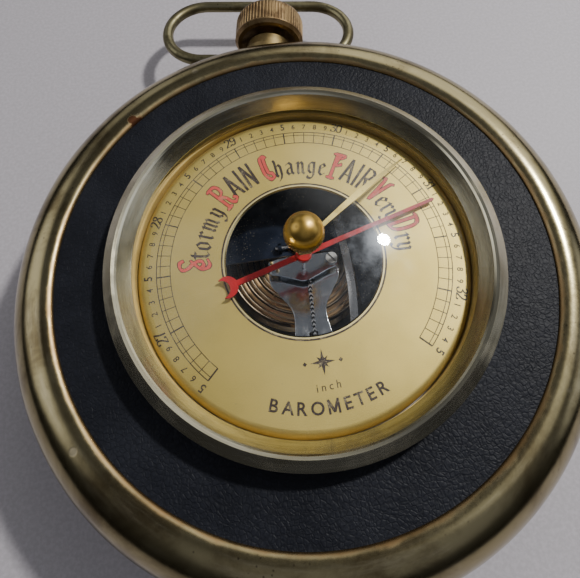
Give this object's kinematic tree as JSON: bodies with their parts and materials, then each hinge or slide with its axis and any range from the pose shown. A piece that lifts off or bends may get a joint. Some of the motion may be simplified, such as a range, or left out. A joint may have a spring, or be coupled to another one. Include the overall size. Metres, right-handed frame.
{
  "type": "ship barometer",
  "caption": "Aneroid ship's barometer in a pocket-watch style brass case with leather panel, domed glass, red pointer, set hand, crown and bow.",
  "frame": {"origin": "centre of the flat back face that it rests on", "axes": "+Z along the dial axis towards the viewer, +Y to 12 o'clock on the dial, where the crown and bow are"},
  "size_m": [0.1562, 0.1929, 0.0573],
  "materials": {
    "rim_brass": "aged polish",
    "core_wood": "turned, unfinished",
    "back_brass": "brushed, tarnished",
    "steel_screws": "bright, slotted",
    "board_wood": "board, raw",
    "black_leather": "pebbled, semi-gloss",
    "black_steel": "black lacquer",
    "bezel_brass": "turned and lacquered",
    "dial_glass": "polished, domed",
    "gasket_paper": "pressed card, gold faced",
    "ring_brass": "lacquered",
    "dial_gold": "printed champagne gold, fine satin",
    "plate_steel": "brushed",
    "pillar_brass": "turned",
    "capsule_copper": "corrugated, copper-toned",
    "blued_steel": "blued",
    "bright_steel": "polished",
    "bridge_nickel": "nickel plated",
    "red_enamel": "gloss red",
    "set_brass": "polished",
    "knob_brass": "polished, worn",
    "pendant_brass": "aged",
    "crown_brass": "fluted, aged",
    "bow_brass": "aged wire"
  },
  "bodies": {
    "case": {"arbor_cock": "bridge_nickel", "back_cover": "back_brass", "back_screws": "steel_screws", "base_plate": "plate_steel", "base_screws": "steel_screws", "bezel": "bezel_brass", "bracket_screws": "steel_screws", "bridge_pillars": "pillar_brass", "bridge_plate": "bridge_nickel", "bridge_screws": "steel_screws", "capsule_lower": "capsule_copper", "capsule_post": "pillar_brass", "capsule_upper": "capsule_copper", "carrier_screws": "steel_screws", "case_core": "core_wood", "case_rim": "rim_brass", "chain": "bright_steel", "cock_pins": "pillar_brass", "cock_posts": "pillar_brass", "cock_screw": "steel_screws", "dial": "dial_gold", "dial_carrier": "plate_steel", "dial_nuts": "steel_screws", "dial_pillars": "pillar_brass", "glass": "dial_glass", "glass_gasket": "gasket_paper", "glass_washer": "ring_brass", "hairspring": "blued_steel", "hairspring_stud": "pillar_brass", "housing_screws": "steel_screws", "leather_panel": "black_leather", "main_spring": "blued_steel", "movement_housing": "black_steel", "neck_nut": "steel_screws", "panel_board": "board_wood", "pendant_neck": "pendant_brass", "rocker_bracket": "pillar_brass", "spacer_ring": "ring_brass", "spring_screws": "steel_screws"},
    "pointer": {"indicator_hand": "red_enamel", "pointer_arbor": "bright_steel", "chain_drum": "bright_steel", "hair_collet": "pillar_brass"},
    "rocker": {"rocking_shaft": "bright_steel", "crank": "bright_steel", "chain_arm": "bright_steel"},
    "lever": {"main_lever": "bright_steel", "lever_rivet": "pillar_brass", "link": "bright_steel", "capsule_stud": "blued_steel", "knife_edge": "bright_steel"},
    "set_pointer": {"set_knob": "knob_brass", "set_hand": "set_brass", "set_nut": "set_brass", "set_washer": "pillar_brass"},
    "adjuster": {"adjusting_screw": "steel_screws"},
    "crown": {"crown": "crown_brass"},
    "bow": {"bow": "bow_brass"}
  },
  "joints": [
    {"name": "indicator_turn", "type": "hinge", "parent": "case", "child": "pointer", "pos_m": [0, 0, 0.0364], "axis": [0, 0, 1], "range_deg": [-60.7, 209.3], "deforming": ["hairspring"]},
    {"name": "rocking_shaft_turn", "type": "hinge", "parent": "case", "child": "rocker", "pos_m": [0, -0.021, 0.017], "axis": [1, 0, 0], "range_deg": [-25.2, 7.6], "deforming": ["chain"]},
    {"name": "main_lever_rock", "type": "hinge", "parent": "case", "child": "lever", "pos_m": [0, 0.034, 0.0139], "axis": [1, 0, 0], "range_deg": [-1.35, 0.45], "deforming": ["main_spring", "capsule_upper"]},
    {"name": "set_hand_turn", "type": "hinge", "parent": "case", "child": "set_pointer", "pos_m": [0, 0, 0.048], "axis": [0, 0, 1], "continuous": true},
    {"name": "zero_screw_turn", "type": "hinge", "parent": "case", "child": "adjuster", "pos_m": [0, 0.0317, 0.003], "axis": [0, 0, 1], "range_deg": [-180, 180]},
    {"name": "crown_turn", "type": "hinge", "parent": "case", "child": "crown", "pos_m": [0, 0.0781, 0.021], "axis": [0.1564, 0.9877, 0], "continuous": true},
    {"name": "bow_swing", "type": "hinge", "parent": "case", "child": "bow", "pos_m": [0.00056, 0.08166, 0.0166], "axis": [0.9877, -0.1564, 0], "range_deg": [-26, 104]}
  ],
  "couplings": [
    {"joint": "rocking_shaft_turn", "follows": "indicator_turn", "ratio": -0.11806},
    {"joint": "main_lever_rock", "follows": "indicator_turn", "ratio": -0.0061063}
  ]
}
